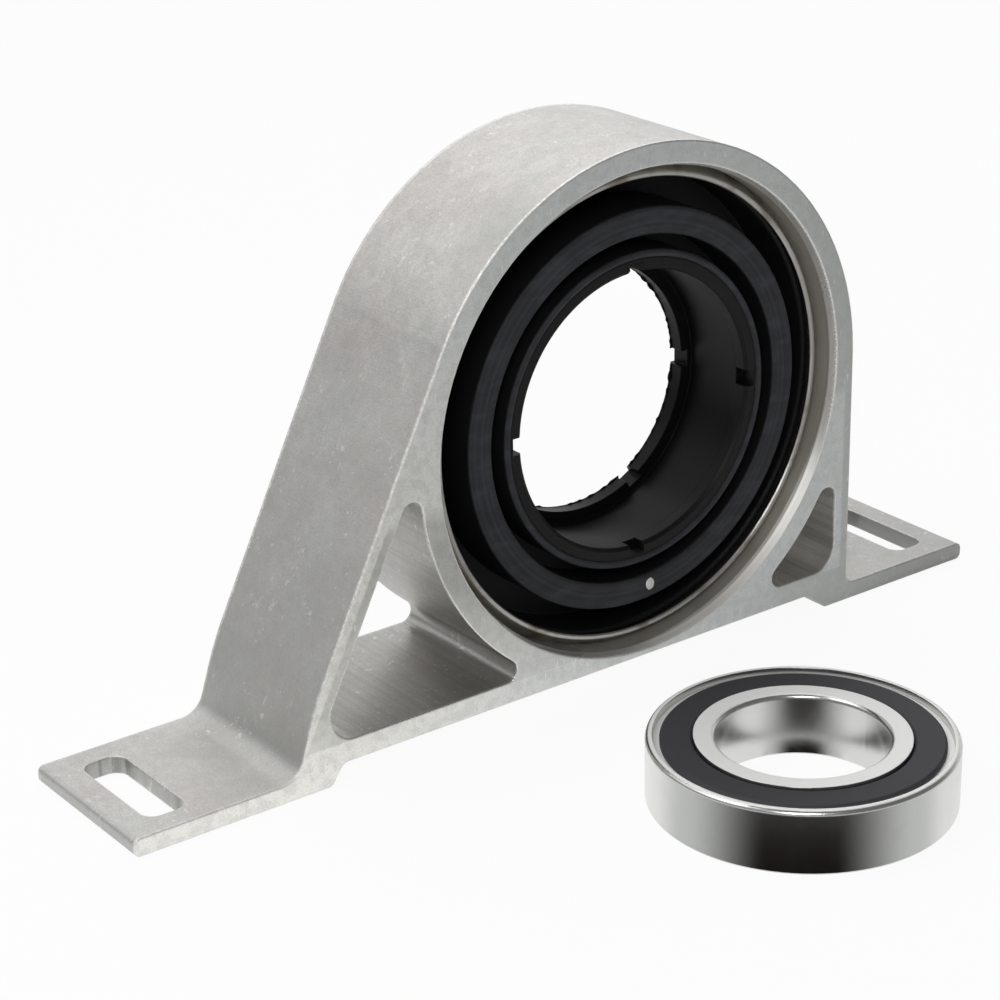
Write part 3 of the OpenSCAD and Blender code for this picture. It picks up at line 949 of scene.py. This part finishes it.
@dataclass
class Insert:
    """Sleeve, rubber cushion and carrier in the bracket's bore, with a paint mark and moulding flash."""

    bracket: Bracket
    crest_rubbed: Span = (0.3 * MM, 1.2 * MM)
    lip_rubbed: Span = (6.5 * MM, 9 * MM)
    mark_r: float = 59.0 * MM
    mark_turn: float = -85.5
    mark_size: Triple = (1.65 * MM, 0.25 * MM, 2.0 * MM)
    mark_waves: tuple[int, ...] = (2, 3, 4, 5, 6)
    mark_wobble: float = 0.06
    mark_levels: int = 4
    mark_seed: int = 3
    lip_r: float = 40.7 * MM
    lip_chamfer: float = 1.0 * MM
    flash_root: float = 0.25 * MM
    flash_t: float = 0.3 * MM
    flash_reach: Span = (0.05 * MM, 1.5 * MM)
    flash_points: int = 200
    flash_waves: tuple[int, ...] = (3, 7, 11)
    flash_thinning: float = 1.5
    flash_seed: int = 11
    notches: int = 6
    notch_w: float = 5.4 * MM

    def build(self) -> None:
        """Dresses the three rings and adds the small pieces."""
        ring = self.bracket.bore
        front = -self.bracket.half_depth
        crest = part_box("rubber_cushion")[0].y
        sleeve = SteelFinish(
            "rolled_steel", ring,
            base=(0.45, 0.44, 0.415), tint=(0.20, 0.165, 0.12), tint_share=0.75, rough=0.32)
        dress("outer_sleeve", sleeve.material())
        rubber = RubberFinish(
            "cushion_rubber", ring,
            base=(0.0095, 0.0097, 0.0107), rubbed=(0.0480, 0.0498, 0.0575),
            rubbed_along=tuple(crest + depth for depth in self.crest_rubbed), rough=0.42, gloss=0.15)
        dress("rubber_cushion", rubber.material())
        plastic = RubberFinish(
            "carrier_plastic", ring,
            base=(0.0050, 0.0050, 0.0052), rubbed=(0.0105, 0.0101, 0.0098),
            rubbed_along=tuple(front + depth for depth in self.lip_rubbed), rough=0.34, gloss=0.15)
        dress("bearing_carrier", plastic.material())
        self.paint_mark(crest)
        self.lip_flash(plastic)

    def paint_mark(self, crest: float) -> None:
        """Dab of white paint on the crest of the cushion.

        Args:
            crest: Front of the crest.
        """
        mesh = bmesh.new()
        bmesh.ops.create_icosphere(mesh, subdivisions=self.mark_levels, radius=1)
        wobble = random.Random(self.mark_seed)
        amounts = [wobble.uniform(-self.mark_wobble, self.mark_wobble) for _ in self.mark_waves]
        for vert in mesh.verts:
            turn = math.atan2(vert.co.z, vert.co.x)
            bulges = (amount * math.sin(wave * turn) for wave, amount in zip(self.mark_waves, amounts))
            vert.co *= 1 + sum(bulges)
        bmesh.ops.scale(mesh, verts=mesh.verts, vec=Vector(self.mark_size))
        angle = math.radians(self.mark_turn)
        offset = Vector((math.cos(angle), 0, math.sin(angle))) * self.mark_r
        place = self.bracket.bore.centre + offset + Vector((0, crest, 0))
        bmesh.ops.translate(mesh, verts=mesh.verts, vec=place)
        Piece("paint_mark", mesh, PaintFinish("marking_paint").material(), Slot.CUSHION)

    def lip_flash(self, finish: Finish) -> None:
        """Ragged flash that the mould left on the rear lip's edge, with gaps at the notches.

        Args:
            finish: Finish of the carrier.
        """
        mesh = bmesh.new()
        count = self.flash_points
        bmesh.ops.create_circle(mesh, segments=count, radius=self.lip_r + self.flash_root)
        edge = bmesh.ops.create_circle(mesh, segments=count, radius=self.lip_r)["verts"]
        torn = random.Random(self.flash_seed)
        low, high = self.flash_reach
        phases = [torn.uniform(0, 2 * math.pi) for _ in self.flash_waves]
        for vert in edge:
            turn = math.atan2(vert.co.y, vert.co.x)
            swell = sum(math.sin(wave * turn + phase) for wave, phase in zip(self.flash_waves, phases))
            broad = swell / (2 * len(phases)) + 0.5
            reach = low + (high - low) * max(0.0, broad) * torn.random() ** self.flash_thinning
            vert.co *= 1 - reach / self.lip_r
        bmesh.ops.bridge_loops(mesh, edges=mesh.edges[:])
        bmesh.ops.delete(mesh, geom=self.at_notches(mesh), context="FACES")
        bmesh.ops.recalc_face_normals(mesh, faces=mesh.faces)
        bmesh.ops.solidify(mesh, geom=mesh.faces[:], thickness=self.flash_t)
        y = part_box("bearing_carrier")[1].y - self.lip_chamfer - self.flash_t
        bmesh.ops.rotate(mesh, verts=mesh.verts, matrix=Matrix.Rotation(math.radians(90), 3, "X"))
        bmesh.ops.translate(mesh, verts=mesh.verts, vec=self.bracket.bore.centre + Vector((0, y, 0)))
        Piece("lip_flash", mesh, finish.material(), Slot.CARRIER)

    def at_notches(self, mesh: bmesh.types.BMesh) -> list[bmesh.types.BMFace]:
        """Faces of the flash that lie across the lip's notches.

        Args:
            mesh: The flash, drawn around Z.

        Returns:
            The faces.
        """
        pitch = 2 * math.pi / self.notches
        half = 0.5 * self.notch_w / self.lip_r
        gone = []
        for face in mesh.faces:
            middle = face.calc_center_median()
            turn = math.atan2(middle.y, middle.x) % pitch
            if min(turn, pitch - turn) < half:
                gone.append(face)
        return gone


@dataclass
class BallBearing:
    """Sealed ball bearing that lies in front of the bracket."""

    axis: Ring
    race_r: float
    shaft_r: float = 25.0 * MM
    seal_rubbed: float = 1.0 * MM

    @classmethod
    def from_frame(cls) -> "BallBearing":
        """Reads the axis and the radius from the outer race.

        Returns:
            The bearing.
        """
        low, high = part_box("outer_race")
        return cls(Ring(Around.UPRIGHT, (low + high) / 2), (high.x - low.x) / 2)

    def build(self) -> None:
        """Dresses the races, the seals, the cage and the balls."""
        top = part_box("seal_upper")[1].z
        race = SteelFinish(
            "ground_steel", self.axis,
            base=(0.70, 0.705, 0.69), tint=(0.60, 0.58, 0.54), tint_share=0.15, rough=0.2, satin=1.0)
        seal = RubberFinish(
            "seal_rubber", self.axis,
            base=(0.040, 0.040, 0.046), rubbed=(0.072, 0.073, 0.082),
            rubbed_along=(top - self.seal_rubbed, top), rough=0.5)
        sheet = SteelFinish(
            "pressed_steel", self.axis,
            base=(0.50, 0.48, 0.43), tint=(0.36, 0.33, 0.28), tint_share=0.3, rough=0.35)
        polish = SteelFinish(
            "polished_steel", self.axis,
            base=(0.80, 0.80, 0.79), tint=(0.70, 0.70, 0.69), tint_share=0.1, rough=0.06)
        balls = sorted(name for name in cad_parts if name.startswith("ball_"))
        for finish, slot, nodes in (
            (race, Slot.RACE, ("outer_race", "inner_race")),
            (seal, Slot.SEAL, ("seal_upper", "seal_lower")),
            (sheet, Slot.CAGE, ("cage_upper", "cage_lower", "cage_rivets")),
            (polish, Slot.BALL, balls),
        ):
            for node in nodes:
                dress(node, finish.material())


@dataclass(frozen=True)
class SoftLight:
    """Square studio lamp that looks at the object."""

    name: str
    place: Triple
    size: float
    power: float

    def build(self, aim: Vector) -> None:
        """Adds the lamp.

        Args:
            aim: Point that it looks at.
        """
        lamp = bpy.data.lights.new(self.name, "AREA")
        lamp.size = self.size
        lamp.energy = self.power
        holder = bpy.data.objects.new(self.name, lamp)
        holder.location = self.place
        holder.rotation_mode = "QUATERNION"
        holder.rotation_quaternion = (aim - Vector(self.place)).to_track_quat("-Z", "Y")
        bpy.context.scene.collection.objects.link(holder)


@dataclass(frozen=True)
class MirrorCard:
    """Card on the floor that only mirroring steel sees, dark in the middle and pale at its sides.

    Each column of the card is what one line up a round steel wall shows to the camera, so that the
    reflection has upright edges. The wall's radius is negative for a bore. The turn around the wall,
    in degrees, goes from dark to pale over the fade, and on to the rim at the spread. The card reaches
    this far from the wall, and turns to its rim over the blend at that end.
    """

    name: str
    axis: Vector
    facing: Vector
    wall_r: float
    fade: Span
    spread: float
    reach: float
    blend: float
    rows: int = 26
    columns: int = 40
    clear: float = 0.3 * MM
    dark: Colour = (0.008, 0.006, 0.005)
    pale: Colour = (0.66, 0.67, 0.66)
    rim: Colour = (0.94, 0.94, 0.93)

    def build(self) -> None:
        """Adds the card."""
        mesh = bmesh.new()
        bmesh.ops.create_grid(mesh, x_segments=self.rows, y_segments=self.columns, size=1)
        tone = mesh.verts.layers.float.new("turn")
        for vert in mesh.verts:
            away, turn = self.reach * (vert.co.x + 1) / 2, self.spread * vert.co.y
            past = max(0.0, away - self.reach + self.blend) / self.blend
            vert[tone] = max(abs(turn), self.spread * past)
            turn = math.radians(turn)
            ahead = self.wall_r * math.cos(turn) + away * math.cos(2 * turn)
            aside = self.wall_r * math.sin(turn) + away * math.sin(2 * turn)
            vert.co = Vector((ahead, aside, self.clear))
        heading = Matrix.Rotation(math.atan2(self.facing.y, self.facing.x), 3, "Z")
        bmesh.ops.rotate(mesh, verts=mesh.verts, matrix=heading)
        bmesh.ops.translate(mesh, verts=mesh.verts, vec=Vector((self.axis.x, self.axis.y, 0)))
        data = bpy.data.meshes.new(self.name)
        mesh.to_mesh(data)
        mesh.free()
        data.materials.append(self.material())
        card = bpy.data.objects.new(self.name, data)
        card.visible_camera = card.visible_diffuse = card.visible_shadow = False
        bpy.context.scene.collection.objects.link(card)

    def material(self) -> bpy.types.Material:
        """Glowing card, graded from its dark middle to its pale sides.

        Returns:
            The new material.
        """
        material = bpy.data.materials.new(self.name)
        material.use_nodes = True
        graph = Graph(material.node_tree)
        turn = graph.add("ShaderNodeAttribute", {"attribute_name": "turn"}, out="Fac")
        tone = graph.mix(turn.rise(*self.fade), self.dark, self.pale)
        tone = graph.mix(turn.rise(self.fade[1], self.spread), tone, self.rim)
        glow = graph.add("ShaderNodeEmission", None, {"Color": tone, "Strength": 1.0})
        graph.add("ShaderNodeOutputMaterial", None, {"Surface": glow})
        return material


@dataclass
class Studio:
    """Floor, backdrop, lamps, cards and camera."""

    bearing: BallBearing
    aim: Triple = (-0.02, -0.02, 0.07)
    lamps: tuple[SoftLight, ...] = (
        SoftLight("overhead_softbox", (0.25, 0.45, 1.2), 1.0, 5.9),
        SoftLight("camera_side_softbox", (-0.78, -0.9, 0.8), 0.45, 5.3),
        SoftLight("left_softbox", (-0.75, 0.15, 1.0), 0.5, 2.8),
        SoftLight("right_softbox", (0.8, 0.9, 0.6), 0.6, 0.8),
    )
    eye: Triple = (-0.4943, -0.6202, 0.3820)
    azimuth: float = 36.45
    elevation: float = 22.72
    roll: float = -1.233
    lens: float = 97.83
    sensor: float = 36.0
    floor_r: float = 8.0
    floor_sides: int = 96
    floor_tone: Colour = (0.86, 0.86, 0.85)
    floor_white: float = 0.93
    floor_mirrored: float = 0.10
    # Painted pool of light on the floor, seen only by mirroring surfaces.
    painted_light_pool_mirrored: float = 1.0
    painted_light_pool_at: Span = (-0.15, -0.165)
    painted_light_pool_reach: Span = (0.08, 0.36)
    sky_dim: float = 0.15
    sky_panel: float = 1.0
    sky_mirrored: float = 0.02
    panel_x: Span = (-0.5, 0.4)
    panel_y: Span = (-0.5, 0.4)
    panel_z: Span = (0.1, 0.6)
    panel_top: Span = (0.7, 0.95)

    def build(self) -> None:
        """Builds the floor, the backdrop, the lamps, the cards and the camera."""
        self.floor()
        self.backdrop()
        for lamp in self.lamps:
            lamp.build(Vector(self.aim))
        self.cards()
        self.camera()

    def cards(self) -> None:
        """Cards for the bearing's side and for its bore, on the camera's side."""
        axis = self.bearing.axis.centre
        facing = Vector((self.eye[0] - axis.x, self.eye[1] - axis.y, 0)).normalized()
        MirrorCard(
            "card_before_bearing", axis, facing, self.bearing.race_r,
            fade=(12.0, 46.0), spread=62.0, reach=78 * MM, blend=32 * MM).build()
        MirrorCard(
            "card_in_bore", axis, facing, -self.bearing.shaft_r,
            fade=(8.0, 24.0), spread=30.0, reach=52 * MM, blend=4 * MM).build()

    def white_share(self, graph: Graph, camera: float, mirrors: Wire | float) -> Wire:
        """Share of plain white in what the camera and the mirroring surfaces see.

        Args:
            graph: Graph to build in.
            camera: Share for the camera.
            mirrors: Share for metal and glass.

        Returns:
            The share.
        """
        seen = graph.add("ShaderNodeLightPath", out="Is Camera Ray")
        mirrored = graph.math("MAXIMUM", seen.other("Is Glossy Ray"), seen.other("Is Transmission Ray"))
        return graph.math("MAXIMUM", seen * camera, mirrored * mirrors)

    def floor(self) -> None:
        """Pale floor that is white to the camera and keeps the object's shadow, with a painted pool of light
        in front of the bracket's left foot that only mirroring surfaces see.
        """
        mesh = bmesh.new()
        bmesh.ops.create_circle(mesh, cap_ends=True, segments=self.floor_sides, radius=self.floor_r)
        data = bpy.data.meshes.new("floor")
        mesh.to_mesh(data)
        mesh.free()
        material = bpy.data.materials.new("pale_floor")
        material.use_nodes = True
        graph = Graph(material.node_tree)
        plain = graph.add("ShaderNodeBsdfDiffuse", None, {"Color": (*self.floor_tone, 1)})
        white = graph.add("ShaderNodeEmission", None, {"Color": (1, 1, 1, 1), "Strength": 1.0})
        x, y, _ = graph.parts(graph.place())
        side, ahead = x - self.painted_light_pool_at[0], y - self.painted_light_pool_at[1]
        # Painted pool of light that mirroring surfaces see on the floor.
        painted_light_pool = 1 - ((side * side + ahead * ahead) ** 0.5).rise(*self.painted_light_pool_reach)
        shown = self.white_share(graph, self.floor_white, self.floor_mirrored + painted_light_pool * self.painted_light_pool_mirrored)
        mixed = graph.add("ShaderNodeMixShader", None, {0: shown, 1: plain, 2: white})
        graph.add("ShaderNodeOutputMaterial", None, {"Surface": mixed})
        data.materials.append(material)
        piece = bpy.data.objects.new("floor", data)
        bpy.context.scene.collection.objects.link(piece)

    def backdrop(self) -> None:
        """Backdrop that is white to the camera, with a high panel on the left and a low one on the right."""
        world = bpy.data.worlds.new("studio")
        world.use_nodes = True
        bpy.context.scene.world = world
        graph = Graph(world.node_tree)
        x, y, z = graph.parts(graph.add("ShaderNodeTexCoord", out="Generated"))
        right, high = x.rise(*self.panel_x), z.rise(*self.panel_z)
        panels = right * (1 - high) + (1 - right) * high
        panels = panels * y.rise(*self.panel_y) * (1 - z.rise(*self.panel_top))
        sky = graph.mix(panels, (self.sky_dim,) * 3, (self.sky_panel,) * 3)
        glow = graph.add("ShaderNodeBackground", None, {"Color": sky, "Strength": 1.0})
        white = graph.add("ShaderNodeBackground", None, {"Color": (1, 1, 1, 1), "Strength": 1.0})
        shown = self.white_share(graph, 1.0, self.sky_mirrored)
        mixed = graph.add("ShaderNodeMixShader", None, {0: shown, 1: glow, 2: white})
        graph.add("ShaderNodeOutputWorld", None, {"Surface": mixed})

    def camera(self) -> None:
        """Camera at the place that the photograph was taken from."""
        turn, tilt = math.radians(self.azimuth), math.radians(self.elevation)
        ahead = Vector((math.sin(turn) * math.cos(tilt), math.cos(turn) * math.cos(tilt), -math.sin(tilt)))
        data = bpy.data.cameras.new("camera")
        data.lens = self.lens
        data.sensor_width = self.sensor
        data.clip_end = 4 * self.floor_r
        holder = bpy.data.objects.new("camera", data)
        holder.location = self.eye
        holder.rotation_mode = "QUATERNION"
        level = ahead.to_track_quat("-Z", "Y")
        holder.rotation_quaternion = level @ Quaternion((0, 0, 1), math.radians(self.roll))
        bpy.context.scene.collection.objects.link(holder)
        bpy.context.scene.camera = holder


def main() -> None:
    """Builds the pieces in order."""
    logging.basicConfig(level=logging.INFO, format="%(name)s: %(message)s")
    bpy.context.scene.view_settings.view_transform = "Standard"
    bracket = Bracket.from_frame()
    bracket.build()
    Insert(bracket).build()
    bearing = BallBearing.from_frame()
    bearing.build()
    Studio(bearing).build()


if __name__ == "__main__":
    main()
